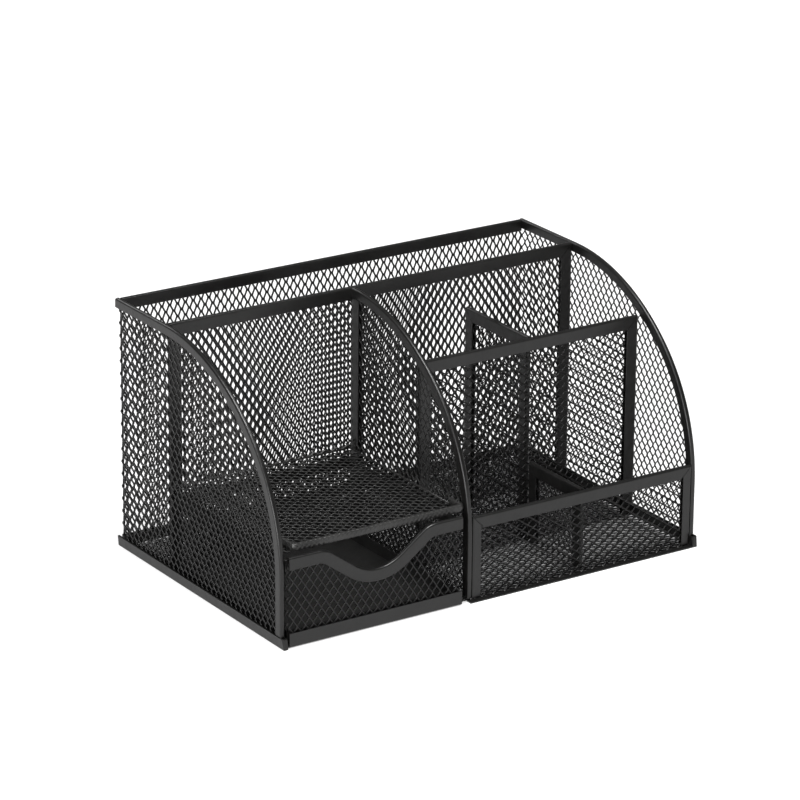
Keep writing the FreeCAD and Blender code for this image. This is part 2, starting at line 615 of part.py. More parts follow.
# Every sub-part is checked, then written under its label.
doc.recompute()
os.makedirs("parts", exist_ok=True)
for item in doc.Objects:
    if "Invalid" in item.State or "Error" in item.State:
        raise RuntimeError("%s failed: %s" % (item.Label, item.State))
nodes = [item for item in doc.Objects if item.TypeId in ("PartDesign::Body", "Part::Feature", "Part::Box")]
for item in nodes:
    if item.Shape.isNull() or not item.Shape.isValid() or len(item.Shape.Solids) != 1:
        raise RuntimeError("%s is not one valid solid" % item.Label)
for item in nodes:
    item.Shape.exportStep("parts/%s.step" % item.Label)
whole = Part.makeCompound([item.Shape for item in nodes]).BoundBox
print("%d nodes, %.2f x %.2f x %.2f mm" % (len(nodes), whole.XLength, whole.YLength, whole.ZLength))
print("x %.2f %.2f  y %.2f %.2f" % (whole.XMin, whole.XMax, whole.YMin, whole.YMax))
print("z %.2f %.2f" % (whole.ZMin, whole.ZMax))
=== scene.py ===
import math

import bpy
import numpy as np
from mathutils import Matrix, Vector


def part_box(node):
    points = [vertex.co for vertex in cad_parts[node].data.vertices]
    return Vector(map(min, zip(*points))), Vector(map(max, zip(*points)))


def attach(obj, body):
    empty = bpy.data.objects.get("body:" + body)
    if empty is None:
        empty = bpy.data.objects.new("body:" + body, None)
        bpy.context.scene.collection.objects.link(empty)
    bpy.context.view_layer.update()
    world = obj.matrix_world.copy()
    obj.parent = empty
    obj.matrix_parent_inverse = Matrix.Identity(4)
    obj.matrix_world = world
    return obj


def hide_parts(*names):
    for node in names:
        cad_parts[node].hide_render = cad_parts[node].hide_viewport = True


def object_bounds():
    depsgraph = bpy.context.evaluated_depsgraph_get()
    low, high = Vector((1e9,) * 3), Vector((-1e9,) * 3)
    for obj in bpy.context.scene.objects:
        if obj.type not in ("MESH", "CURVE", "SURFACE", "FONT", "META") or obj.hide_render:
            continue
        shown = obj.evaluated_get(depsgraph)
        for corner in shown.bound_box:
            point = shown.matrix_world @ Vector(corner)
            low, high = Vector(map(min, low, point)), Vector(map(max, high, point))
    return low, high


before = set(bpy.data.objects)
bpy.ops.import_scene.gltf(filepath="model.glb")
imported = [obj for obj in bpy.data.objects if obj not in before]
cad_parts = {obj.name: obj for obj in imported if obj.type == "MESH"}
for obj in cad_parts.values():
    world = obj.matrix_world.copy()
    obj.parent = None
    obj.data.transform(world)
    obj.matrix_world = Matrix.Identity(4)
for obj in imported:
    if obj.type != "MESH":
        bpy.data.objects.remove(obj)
cad_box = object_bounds()

# The outer walls: raised expanded steel mesh, slit and stretched from thin sheet, so that every strand
# is a flat ribbon that leans out of the sheet's plane, with its diamonds' long way upright. On the
# real stand one sheet is bent round both back corners and spot-welded to the base.
MM = 0.001
LONG_WAY = 6.0 * MM
SHORT_WAY = 4.1 * MM
STRAND = 0.8 * MM
GAUGE = 0.48 * MM
WALL_GAUGE = 0.62 * MM
LEAN = math.radians(50)
# one pitch of a ribbon: where its corners lie, and how far up (1) or down (-1) it stands there
KNOTS = np.array([0.0, 0.06, 0.44, 0.5, 0.56, 0.94])
SWING = np.array([1.0, 0.96, -0.96, -1.0, -0.96, 0.96])
AXES = {"front": ((1, 0, 0), (0, 0, 1), (0, 1, 0)), "side": ((0, 1, 0), (0, 0, 1), (1, 0, 0)),
        "floor": ((1, 0, 0), (0, 1, 0), (0, 0, 1))}
COAT_IOR = 1.5
SHADE_GRAIN, SHADE_DRIFT = 120, 0.25
GLOSS_GRAIN, GLOSS_DRIFT = 300, 0.05
DENT_GRAIN = 330
SKIN_GRAIN, SKIN_STRENGTH, SKIN_DEPTH = 2600, 0.3, 0.05 * MM


def black_coat(name, colour, rough, dents):
    """Satin black powder coat: a near-black whose shade and gloss drift a little over a few
    centimetres, with the fine pebbled skin of baked powder and shallow dents of a few millimetres,
    where sheet metal has been pressed on mesh, as bump."""
    material = bpy.data.materials.new(name)
    material.use_nodes = True
    nodes, links = material.node_tree.nodes, material.node_tree.links
    shader = nodes["Principled BSDF"]
    shader.inputs["IOR"].default_value = COAT_IOR
    places = nodes.new("ShaderNodeTexCoord")

    def noise(scale, detail):
        """Noise over the piece's own coordinates."""
        node = nodes.new("ShaderNodeTexNoise")
        node.inputs["Scale"].default_value = scale
        node.inputs["Detail"].default_value = detail
        links.new(places.outputs["Object"], node.inputs["Vector"])
        return node.outputs["Fac"]

    shade = nodes.new("ShaderNodeValToRGB")
    shade.color_ramp.elements[0].position = 0.3
    shade.color_ramp.elements[0].color = tuple((1 - SHADE_DRIFT) * part for part in colour) + (1,)
    shade.color_ramp.elements[1].position = 0.7
    shade.color_ramp.elements[1].color = tuple((1 + SHADE_DRIFT) * part for part in colour) + (1,)
    links.new(noise(SHADE_GRAIN, 3), shade.inputs["Fac"])
    links.new(shade.outputs["Color"], shader.inputs["Base Color"])
    gloss = nodes.new("ShaderNodeMapRange")
    gloss.inputs["To Min"].default_value = rough - GLOSS_DRIFT
    gloss.inputs["To Max"].default_value = rough + GLOSS_DRIFT
    links.new(noise(GLOSS_GRAIN, 2), gloss.inputs["Value"])
    links.new(gloss.outputs["Result"], shader.inputs["Roughness"])
    pressed = nodes.new("ShaderNodeBump")
    pressed.inputs["Strength"].default_value = 1.0
    pressed.inputs["Distance"].default_value = dents
    links.new(noise(DENT_GRAIN, 1), pressed.inputs["Height"])
    skin = nodes.new("ShaderNodeBump")
    skin.inputs["Strength"].default_value = SKIN_STRENGTH
    skin.inputs["Distance"].default_value = SKIN_DEPTH
    links.new(noise(SKIN_GRAIN, 1), skin.inputs["Height"])
    links.new(pressed.outputs["Normal"], skin.inputs["Normal"])
    links.new(skin.outputs["Normal"], shader.inputs["Normal"])
    return material


def piece(name, corners, faces, nodes, body, material):
    """A mesh from an array of corners and a list of faces, turned right side out by its signed volume,
    which stands for the named nodes of the frame and rides on their body."""
    corners = corners.reshape(-1, 3)
    mesh = bpy.data.meshes.new(name)
    mesh.from_pydata(corners, [], faces)
    first, second, third = [corners[[face[index] for face in faces]] for index in range(3)]
    last = corners[[face[-1] for face in faces]]
    if np.einsum("ij,ij->", first, np.cross(second, third) + np.cross(third, last)) < 0:
        mesh.flip_normals()
    mesh.polygons.foreach_set("use_smooth", [True] * len(faces))
    thing = bpy.data.objects.new(name, mesh)
    bpy.context.collection.objects.link(thing)
    thing.data.materials.append(material)
    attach(thing, body)
    if nodes:
        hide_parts(*nodes)
    return thing


def expanded_sheet(name, nodes, run_span, rise_span, place, inside, lean, body="stand", gauge=GAUGE):
    """Rows of zigzag ribbons over a stretch of sheet, worked out flat and then laid by place. Row j lies
    j half short ways up; along it the ribbon swings between the row above and the row below once per
    long way, every other row half a pitch on, so that neighbours meet at the bonds. Its section leans by
    LEAN out of the sheet. A stretch of ribbon is kept where inside says that its middle belongs here."""
    row = np.arange(int(rise_span[0] / SHORT_WAY * 2) - 1, int(rise_span[1] / SHORT_WAY * 2) + 2)
    pitch = np.arange(int(run_span[0] / LONG_WAY) - 2, int(run_span[1] / LONG_WAY) + 2)
    run = ((pitch[:, None] + KNOTS).ravel()[None, :] + 0.5 * (row % 2)[:, None]) * LONG_WAY
    swing = np.tile(SWING, len(pitch))[None, :]
    spread = SHORT_WAY / 4 - math.cos(LEAN) * STRAND / 2
    rise = row[:, None] * SHORT_WAY / 2 + spread * swing
    depth = -lean * math.sin(LEAN) * STRAND / 2 * swing + 0 * run
    centre = np.stack([run, rise, depth], -1)
    ring = np.array([(1, 1), (-1, 1), (-1, -1), (1, -1)]) / 2
    wide = np.array([0, math.cos(LEAN), lean * math.sin(LEAN)]) * STRAND
    thick = np.array([0, -lean * math.sin(LEAN), math.cos(LEAN)]) * gauge
    corners = place(centre[:, :, None, :] + ring[:, :1] * wide + ring[:, 1:] * thick)
    halfway = (centre[:, 1:] + centre[:, :-1]) / 2
    kept = ((halfway[..., 0] > run_span[0]) & (halfway[..., 0] < run_span[1])
            & (halfway[..., 1] > rise_span[0]) & (halfway[..., 1] < rise_span[1]) & inside(place(halfway)))
    first = (np.arange(len(row))[:, None] * run.shape[1] + np.arange(run.shape[1] - 1)[None, :]) * 4
    start = first[kept][:, None]
    side = np.arange(4)
    turn = (side + 1) % 4
    quads = np.stack([start + side, start + turn, start + 4 + turn, start + 4 + side], -1).reshape(-1, 4)
    former = np.pad(kept, ((0, 0), (1, 0)))[:, :-1]
    later = np.pad(kept, ((0, 0), (0, 1)))[:, 1:]
    opening = first[kept & ~former][:, None] + side[::-1]
    closing = first[kept & ~later][:, None] + 4 + side
    used, faces = np.unique(np.concatenate([quads, opening, closing]), return_inverse=True)
    return piece(name, corners.reshape(-1, 3)[used], faces.reshape(-1, 4).tolist(), nodes, body, mesh_coat)


def anywhere(points):
    """The test that keeps all of a sheet's stretch."""
    return np.ones(points.shape[:-1], bool)


def flat_sheet(node, facing, long_up, lean, body="stand", inside=anywhere, squeeze=1.0):
    """A flat expanded sheet over its node's box, measured from the box's middle; squeeze flattens it."""
    low, high = np.array(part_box(node))
    across, up, out = [np.array(axis, float) for axis in AXES[facing]]
    run, rise = (up, across) if long_up else (across, up)
    half = (high - low) / 2

    def lay(flat):
        """Flat coordinates along the run, the rise and out of the sheet, from the box's middle."""
        return (low + high) / 2 + flat[..., :1] * run + flat[..., 1:2] * rise + flat[..., 2:] * squeeze * out
    return expanded_sheet(node.replace("_mesh", "_sheet"), [node], (-half @ run, half @ run),
                          (-half @ rise, half @ rise), lay, inside, lean, body)


mesh_coat = black_coat("black_coat_on_mesh", (0.006, 0.0058, 0.0056), 0.3, 0.05 * MM)
strip_coat = black_coat("black_coat_on_strips", (0.007, 0.0068, 0.0065), 0.33, 0.1 * MM)

# The arch that the side walls and the partition share, from the channels' front face and the floor.
FRONT_RADIUS = 83.0 * MM
TOP_RADIUS = 100.0 * MM
ARCH_BLEND = math.radians(45)
front_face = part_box("left_side_channel")[0][1]
arch_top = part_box("left_side_channel")[1][2]
leg_top = arch_top - TOP_RADIUS + (TOP_RADIUS - FRONT_RADIUS) * math.sin(ARCH_BLEND)
front_centre = np.array((front_face + FRONT_RADIUS, leg_top))
blend = (TOP_RADIUS - FRONT_RADIUS) * np.array((math.cos(ARCH_BLEND), -math.sin(ARCH_BLEND)))
top_centre = front_centre + blend
HIDDEN = 1.2 * MM


def under_arch(points):
    """True at least HIDDEN inside the arch's outer edge. The line through both arcs' centres parts the
    front arc from the top arc; below and behind them the edge is straight."""
    a, b = points[..., 1], points[..., 2]
    upper = (b - front_centre[1]) > (front_centre[0] - a) * math.tan(ARCH_BLEND)
    front = FRONT_RADIUS - np.hypot(a - front_centre[0], b - front_centre[1])
    top = TOP_RADIUS - np.hypot(a - top_centre[0], b - top_centre[1])
    inset = np.where(upper, top, front)
    inset = np.where(a > top_centre[0], arch_top - b, inset)
    inset = np.where(b < front_centre[1], a - front_face, inset)
    return inset > HIDDEN


# the walls' plan, from the left front along the left wall, the back and the right wall
CORNER = 1.6 * MM
side_plane = (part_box("right_side_mesh")[0][0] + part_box("right_side_mesh")[1][0]) / 2
back_plane = (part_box("back_mesh")[0][1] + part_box("back_mesh")[1][1]) / 2
wall_foot, wall_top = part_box("back_mesh")[0][2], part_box("back_mesh")[1][2]
side_run = back_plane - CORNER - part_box("left_side_mesh")[0][1]
back_run = 2 * (side_plane - CORNER)
quarter_turn = CORNER * math.pi / 2


def round_the_walls(flat):
    """Flat coordinates (height, way along the plan, depth outwards) laid round the plan: straight along
    the left wall, a quarter turn, along the back, a quarter turn and along the right wall. The outward
    direction turns with the two corners."""
    height, way, depth = flat[..., 0], flat[..., 1], flat[..., 2]
    one = np.clip((way - side_run) / CORNER, 0, np.pi / 2)
    two = np.clip((way - side_run - quarter_turn - back_run) / CORNER, 0, np.pi / 2)
    along_left = np.minimum(way, side_run)
    along_back = np.clip(way - side_run - quarter_turn, 0, back_run)
    along_right = np.maximum(way - side_run - 2 * quarter_turn - back_run, 0)
    x = (-side_plane + CORNER * (1 - np.cos(one)) + along_back + CORNER * np.sin(two)
         - depth * np.cos(one + two))
    y = (back_plane - CORNER - side_run + along_left + CORNER * np.sin(one) - CORNER * (1 - np.cos(two))
         - along_right + depth * np.sin(one + two))
    return np.stack([x, y, height], -1)


first_corner = side_run + quarter_turn / 2
second_corner = side_run + quarter_turn * 1.5 + back_run
for name, span, test in (("left_side", (0, first_corner), under_arch),
                         ("back", (first_corner, second_corner), anywhere),
                         ("right_side", (second_corner, first_corner + second_corner), under_arch)):
    expanded_sheet(name + "_sheet", [name + "_mesh"], (wall_foot, wall_top), span, round_the_walls, test, -1,
                   gauge=WALL_GAUGE)

# The channels over the arched edges: steel strip folded to a U over the mesh and rolled to the arch,
# with the fold's two outer corners rounded. They are pressed on and welded at the ends.
FOLD_ROUND = 0.9 * MM
FOLD_STEPS = 6
LIP_ROUND = 0.12 * MM
SHARP = math.radians(35)
ROLL_STEP = math.radians(2.5)
CHANNEL_WIDTH = 4.3 * MM
WALL = 0.5 * MM
HALF = 1.2 * MM
SUPPORT = 0.1 * MM
MITRE_GAP = 0.14 * MM


def fold_profile(width):
    """The section of a folded strip as (across, inwards) pairs: down one wall to its lip, up inside,
    and back down the other. The two outer corners are quarter rounds with a support line each."""
    quarter = np.linspace(0, np.pi / 2, FOLD_STEPS + 1)
    near = np.stack([-HALF + FOLD_ROUND * (1 - np.cos(quarter)), FOLD_ROUND * (1 - np.sin(quarter))], -1)
    far = near[::-1] * (-1, 1)
    left = [(-HALF, width - LIP_ROUND), (-HALF, FOLD_ROUND + SUPPORT)]
    top = [(-HALF + FOLD_ROUND + SUPPORT, 0), (HALF - FOLD_ROUND - SUPPORT, 0)]
    right = [(HALF, FOLD_ROUND + SUPPORT), (HALF, width - LIP_ROUND), (HALF - LIP_ROUND, width)]
    inner = [(HALF - WALL, width - LIP_ROUND), (HALF - WALL, 2 * WALL), (WALL - HALF, 2 * WALL),
             (WALL - HALF, width - LIP_ROUND), (LIP_ROUND - HALF, width)]
    return np.concatenate([left, near, top, far, right, inner])


def road(start, heading, legs):
    """Points and headings along a road of straight legs, given by length, and arcs, given as a radius
    and the signed angle that they turn through."""
    points, headings = [np.array([start], float)], [np.array([heading])]
    for leg in legs:
        begin, now = points[-1][-1], headings[-1][-1]
        if isinstance(leg, tuple):
            radius, turn = leg
            steps = max(2, int(abs(turn) / ROLL_STEP))
            way = now + turn * np.linspace(0, 1, steps + 1)[1:]
            bend = radius * np.sign(turn)
            swept = np.stack([np.sin(way) - np.sin(now), np.cos(now) - np.cos(way)], -1)
            points.append(begin + bend * swept)
            headings.append(way)
        else:
            points.append(begin + leg * np.array([[math.cos(now), math.sin(now)]]))
            headings.append(np.array([now]))
    return np.concatenate(points), np.concatenate(headings)


def tube_faces(stations, sides):
    """The faces of a closed tube whose corners are listed ring by ring: four-sided walls between each
    ring and the next, and a cap on either end."""
    first = np.arange(stations - 1)[:, None] * sides
    side = np.arange(sides)[None, :]
    turn = (side + 1) % sides
    walls = np.stack([first + side, first + turn, first + sides + turn, first + sides + side], -1)
    caps = [list(range(sides))[::-1], list(range((stations - 1) * sides, stations * sides))]
    return walls.reshape(-1, 4).tolist() + caps


def folded_strip(node, facing, points, headings, width, mitres=(0, 0), body="stand"):
    """A fold profile carried along a road in a panel's plane: each section stands square to the road,
    its depth measured to the right of the way. At a mitred end the section is drawn back along the
    road by its depth, so that it ends at 45 degrees."""
    profile = fold_profile(width)
    across, up, out = [np.array(axis, float) for axis in AXES[facing]]
    low, high = np.array(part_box(node))
    centre = ((low + high) / 2) * out
    forward = np.stack([np.cos(headings), np.sin(headings)], -1)
    inward = np.stack([np.sin(headings), -np.cos(headings)], -1)
    flat = points[:, None, :] + profile[None, :, 1:] * inward[:, None, :]
    flat[0] += mitres[0] * (profile[:, 1:] + MITRE_GAP) * forward[0]
    flat[-1] -= mitres[1] * (profile[:, 1:] + MITRE_GAP) * forward[-1]
    corners = centre + flat[..., :1] * across + flat[..., 1:] * up + profile[None, :, :1] * out
    faces = tube_faces(*corners.shape[:2])
    thing = piece(node + "_steel", corners, faces, [node], body, strip_coat)
    thing.data.set_sharp_from_angle(angle=SHARP)
    return thing


def arched_channel(node):
    """The road of an arched channel: up the leg, round both arcs and along the flat top to its end."""
    low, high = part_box(node)
    legs = [leg_top - low[2], (FRONT_RADIUS, -ARCH_BLEND), (TOP_RADIUS, ARCH_BLEND - math.pi / 2),
            high[1] - top_centre[0]]
    points, headings = road((front_face, low[2]), math.pi / 2, legs)
    return folded_strip(node, "side", points, headings, CHANNEL_WIDTH)


arched_channel("left_side_channel")
arched_channel("right_side_channel")


def straight_strip(node, facing, edge, mitred=(False, False), body="stand"):
    """A straight folded strip in its node's box, with its fold on the panel's top, foot, start or end
    edge. The road runs so that the panel lies to its right; mitred says which of its ends are, first
    the left or low one."""
    low, high = np.array(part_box(node))
    across, up = [np.array(axis, float) for axis in AXES[facing][:2]]
    left, right, foot, top = low @ across, high @ across, low @ up, high @ up
    starts = {"top": (left, top), "foot": (right, foot), "start": (left, foot), "end": (right, top)}
    headings = {"top": 0.0, "foot": math.pi, "start": math.pi / 2, "end": -math.pi / 2}
    lying = edge in ("top", "foot")
    length, width = (right - left, top - foot) if lying else (top - foot, right - left)
    mitres = mitred if edge in ("top", "start") else mitred[::-1]
    points, turns = road(starts[edge], headings[edge], [length])
    return folded_strip(node, facing, points, turns, width, mitres, body)


straight_strip("back_top_strip", "front", "top")

# The base: a steel rim that holds the foot of the three walls, its outer face leaning out a little,
# a thin flat lip along the front, and the floor's mesh between them.
RIM_LEAD = 1.2 * MM
RIM_FLARE = 0.4 * MM
RIM_FOOT = 0.25 * MM
END_PLUG = 1.5 * MM
FLOOR_PRESS = 0.75


def rim_profile(thickness, height, outwards):
    """The rim's section as (across, up) pairs: closed foot, inner face, slot, and the outer face, which
    leans out by RIM_FLARE from foot to top."""
    outline = np.array([
        (RIM_FLARE + RIM_FOOT, 0), (thickness - RIM_FOOT, 0), (thickness, RIM_FOOT),
        (thickness, height - LIP_ROUND), (thickness - LIP_ROUND, height), (thickness - WALL, height),
        (thickness - WALL, 2 * WALL), (RIM_FLARE + WALL, 2 * WALL), (RIM_FLARE + WALL, height),
        (LIP_ROUND, height), (0, height - LIP_ROUND), (RIM_FLARE * 0.95, RIM_FOOT)])
    return outline if outwards < 0 else outline * (-1, 1) + (thickness, 0)


def rim_piece(node, facing, outwards, lead):
    """A rim carried straight along its node, its front end cut back by lead from foot to top, and the
    slot filled over the length of END_PLUG from there."""
    low, high = np.array(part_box(node))
    across, up, out = [np.array(axis, float) for axis in AXES[facing]]
    profile = rim_profile((high - low) @ across, (high - low) @ up, outwards)
    filled = profile.copy()
    filled[6:8, 1] = profile[5, 1] - LIP_ROUND
    rise = profile[:, 1:] / ((high - low) @ up)
    ends = []
    start = low @ out
    for outline, stop, cut in ((filled, start, lead), (filled, start + END_PLUG, lead),
                               (profile, start + END_PLUG + LIP_ROUND, lead), (profile, high @ out, 0.0)):
        place = (low @ across + outline[:, :1]) * across + (low @ up + outline[:, 1:]) * up
        ends.append(place + (stop + cut * rise) * out)
    faces = tube_faces(len(ends), len(profile))
    thing = piece(node + "_steel", np.stack(ends), faces, [node], "stand", strip_coat)
    thing.data.set_sharp_from_angle(angle=SHARP)
    return thing


rim_piece("left_base_rim", "front", -1, RIM_LEAD)
rim_piece("right_base_rim", "front", 1, RIM_LEAD)
rim_piece("back_base_rim", "side", 1, 0.0)
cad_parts["front_rail"].data.materials.clear()
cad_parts["front_rail"].data.materials.append(strip_coat)
flat_sheet("floor_mesh", "floor", False, 1, squeeze=FLOOR_PRESS)


# The dividers: mesh panels bound with folded strips on the top and both upright edges, mitred where
# they meet, and welded to the walls.
def divider(name, facing, sides, long_up, lean):
    """One divider: its sheet, whose ends hide in its strips, then the three strips."""
    flat_sheet(name + "_mesh", facing, long_up, lean)
    straight_strip(name + "_top_strip", facing, "top", (True, True))
    straight_strip("%s_%s_strip" % (name, sides[0]), facing, "start", (False, True))
    straight_strip("%s_%s_strip" % (name, sides[1]), facing, "end", (False, True))


divider("rear_divider", "front", ("left", "right"), True, -1)
divider("middle_divider", "front", ("left", "right"), False, -1)
divider("pen_divider", "side", ("front", "back"), True, 1)
divider("low_divider", "side", ("front", "back"), True, 1)
divider("fence", "front", ("left", "right"), False, -1)

# The partition between the drawer bay and the pockets: an arched sheet like the side walls.
flat_sheet("partition_mesh", "side", True, 1, inside=under_arch)
arched_channel("partition_channel")
straight_strip("partition_back_strip", "side", "end")

# The shelf over the drawer: one sheet of mesh whose back and right edges are folded up, and a doubled
# hem of mesh along the front that returns a little way round both corners.
SHELF_FOLD = 1.0 * MM
SHEET_LEAD = 2.0 * MM
shelf_low, shelf_high = np.array(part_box("shelf_mesh"))
shelf_plane = (shelf_low[2] + shelf_high[2]) / 2
shelf_middle = (shelf_low + shelf_high) / 2
flange_plane = (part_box("shelf_side_flange")[0][0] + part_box("shelf_side_flange")[1][0]) / 2
back_flange_plane = (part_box("shelf_back_flange")[0][1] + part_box("shelf_back_flange")[1][1]) / 2
flange_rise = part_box("shelf_side_flange")[1][2] - shelf_plane
back_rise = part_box("shelf_back_flange")[1][2] - shelf_plane


def fold_up(way, limit, depth):
    """How far a sheet goes on and how far it climbs, when it is bent upwards past limit."""
    turn = np.clip((way - limit) / SHELF_FOLD, 0, np.pi / 2)
    radius = SHELF_FOLD - depth
    on = np.minimum(way, limit) + radius * np.sin(turn)
    climb = radius * (1 - np.cos(turn)) + np.maximum(way - limit - SHELF_FOLD * np.pi / 2, 0)
    return on, climb


right_limit = flange_plane - SHELF_FOLD - shelf_middle[0]
back_limit = back_flange_plane - SHELF_FOLD - shelf_middle[1]


def lay_shelf(flat):
    """Flat coordinates (along x, along y, up) from the shelf's middle, with both edges folded up."""
    x, x_climb = fold_up(flat[..., 0], right_limit, flat[..., 2])
    y, y_climb = fold_up(flat[..., 1], back_limit, flat[..., 2])
    height = shelf_plane + flat[..., 2] + x_climb + y_climb
    return np.stack([shelf_middle[0] + x, shelf_middle[1] + y, height], -1)


def on_shelf(points):
    """False where both folds would climb at once: the corner is cut out."""
    return (points[..., 0] < flange_plane - SHELF_FOLD) | (points[..., 1] < back_flange_plane - SHELF_FOLD)


shelf = expanded_sheet("shelf_sheet", ["shelf_mesh", "shelf_side_flange", "shelf_back_flange"],
                       (shelf_low[0] - shelf_middle[0], right_limit + flange_rise),
                       (shelf_low[1] + SHEET_LEAD - shelf_middle[1], back_limit + back_rise),
                       lay_shelf, on_shelf, -1)
# painted light: the shelf wears the same satin black as the mesh, painted about four times lighter, for the
# shine that the shelf, its hem and its fold edges catch from the lamps above
painted_light_shelf_coat = black_coat("black_coat_on_shelf_painted_lighter", (0.024, 0.0236, 0.023), 0.34, 0.05 * MM)
shelf.data.materials[0] = painted_light_shelf_coat

# the hem: the sheet's front edge folded over and pressed, so that its strands show as a fine relief
lip_low, lip_high = np.array(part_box("shelf_front_lip"))
HEM_RETURN = 8.0 * MM
HEM_INSET = 5.0 * MM
HEM_THICK = 1.0 * MM
HEM_RIB = 2.4 * MM
HEM_RELIEF = 0.22 * MM
HEM_STATIONS = 380
HEM_SIDES = 24
HEM_EDGES = 0.4
HEM_FACES = 0.7
hem_middle = (lip_low + lip_high + (HEM_INSET, 0, 0)) / 2
hem_rise = (lip_high[2] - lip_low[2]) / 2
hem_half = (lip_high[0] - lip_low[0] - HEM_INSET) / 2 - SHELF_FOLD - HEM_THICK - HEM_RELIEF
hem_reach = hem_half + SHELF_FOLD * math.pi / 2 + HEM_RETURN
way = np.linspace(-hem_reach, hem_reach, HEM_STATIONS)[:, None]
turn = np.linspace(0, 2 * np.pi, HEM_SIDES + 1)[None, :-1]
# a flat section with rounded corners (the lower the powers, the squarer), whose width goes in and out
# with two sets of slanting ribs that cross each other
out = HEM_THICK * np.sign(np.cos(turn)) * np.abs(np.cos(turn)) ** HEM_EDGES
lift = hem_rise * np.sign(np.sin(turn)) * np.abs(np.sin(turn)) ** HEM_FACES
ribs = np.cos(2 * np.pi * (way + lift) / HEM_RIB) + np.cos(2 * np.pi * (way - lift) / HEM_RIB)
out = out + HEM_RELIEF / 2 * ribs * np.cos(turn)
lift = lift + 0 * way
# round both corners by a quarter circle and back
bend = np.clip((np.abs(way) - hem_half) / SHELF_FOLD, 0, np.pi / 2)
past = np.maximum(np.abs(way) - hem_half - SHELF_FOLD * np.pi / 2, 0)
x = hem_middle[0] + np.sign(way) * (np.minimum(np.abs(way), hem_half) + (SHELF_FOLD + out) * np.sin(bend))
y = hem_middle[1] + SHELF_FOLD + past - (SHELF_FOLD + out) * np.cos(bend)
# the hem wears the shelf's lighter coat, which is painted light
piece("shelf_hem", np.stack([x, y, hem_middle[2] + lift], -1), tube_faces(*x.shape), ["shelf_front_lip"],
      "stand", painted_light_shelf_coat)


def fold_edge(name, start, end):
    """The sharp outer edge of a fold, where the strands lie flat in line: a thin bead of EDGE_SIDES sides
    along the shelf's edge, straight from start to end."""
    turn = np.linspace(0, 2 * np.pi, EDGE_SIDES + 1)[:-1, None]
    along = (end - start) / np.linalg.norm(end - start)
    ring = EDGE_ROUND * (np.cross(along, (0, 0, 1)) * np.cos(turn) + np.sin(turn) * (0, 0, 1))
    points = np.stack([start + ring, end + ring])
    return piece(name, points, tube_faces(*points.shape[:2]), [], "stand", painted_light_shelf_coat)


EDGE_ROUND = 0.45 * MM
EDGE_SIDES = 8
SIDE_LEAD = 3.0 * MM
BACK_LEAD = 1.0 * MM
fold_height = shelf_plane + 2 * EDGE_ROUND
edge_corner = np.array((flange_plane - EDGE_ROUND, back_flange_plane - EDGE_ROUND, fold_height))
fold_edge("shelf_side_fold", np.array((edge_corner[0], shelf_low[1] + SIDE_LEAD, fold_height)), edge_corner)
fold_edge("shelf_back_fold", np.array((shelf_low[0] + BACK_LEAD, edge_corner[1], fold_height)), edge_corner)

# The drawer front: mesh with a finger notch in its upper edge, a folded strip that follows the notch,
# and a strip along the foot.
NOTCH_DEPTH = 14.5 * MM
NOTCH_RADIUS = 20.0 * MM
SHOULDER_RADIUS = 12.5 * MM
NOTCH_ANGLE = math.radians(36)
NOTCH_SHIFT = 0.7 * MM
TRIM_WIDTH = 5.8 * MM
rounds = NOTCH_RADIUS + SHOULDER_RADIUS
slope = (NOTCH_DEPTH - rounds * (1 - math.cos(NOTCH_ANGLE))) / math.sin(NOTCH_ANGLE)
notch_half = rounds * math.sin(NOTCH_ANGLE) + slope * math.cos(NOTCH_ANGLE)
trim_low, trim_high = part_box("drawer_front_trim")
notch_centre = (trim_low[0] + trim_high[0]) / 2 + NOTCH_SHIFT
trim_legs = [
    notch_centre - notch_half - trim_low[0], (SHOULDER_RADIUS, -NOTCH_ANGLE), slope,
    (NOTCH_RADIUS, 2 * NOTCH_ANGLE), slope, (SHOULDER_RADIUS, -NOTCH_ANGLE),
    trim_high[0] - notch_centre - notch_half]
trim_points, trim_headings = road((trim_low[0], trim_high[2]), 0.0, trim_legs)
folded_strip("drawer_front_trim", "front", trim_points, trim_headings, TRIM_WIDTH, body="drawer")
straight_strip("drawer_front_foot_strip", "front", "foot", body="drawer")


def under_notch(points):
    """True at least twice HIDDEN below the notched edge, whose height is read off the trim's road."""
    line = np.interp(points[..., 0], trim_points[:, 0], trim_points[:, 1])
    return points[..., 2] < line - 2 * HIDDEN


flat_sheet("drawer_front_mesh", "front", True, 1, "drawer", under_notch)

# The drawer's box: mesh sides and back, each with a folded strip along its top, round a pan of plain
# sheet steel with folded-up edges, which keeps its shape from the frame and gets a duller coat.
for name, facing, lean in (("left", "side", 1), ("right", "side", 1), ("back", "front", -1)):
    flat_sheet("drawer_%s_mesh" % name, facing, True, lean, "drawer")
    straight_strip("drawer_%s_strip" % name, facing, "top", body="drawer")
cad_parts["drawer_pan"].data.materials.clear()
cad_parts["drawer_pan"].data.materials.append(
    black_coat("black_coat_on_pan", (0.012, 0.0118, 0.0115), 0.5, 0.1 * MM))

# The studio floor: a pale matt ground that glows white to the camera and less in reflections. Under the
# stand its glow is taken away, a painted shadow, so that there it shows only its matt grey as the lamps
# light it.
FLOOR_SIZE = 6.0
FLOOR_SHADE = 0.42
FLOOR_GLOW = 0.72
MIRRORED_GLOW = 0.6
# the width of the painted shadow's soft edge, inside the stand's outline
PAINTED_SHADOW_EDGE = 6 * MM


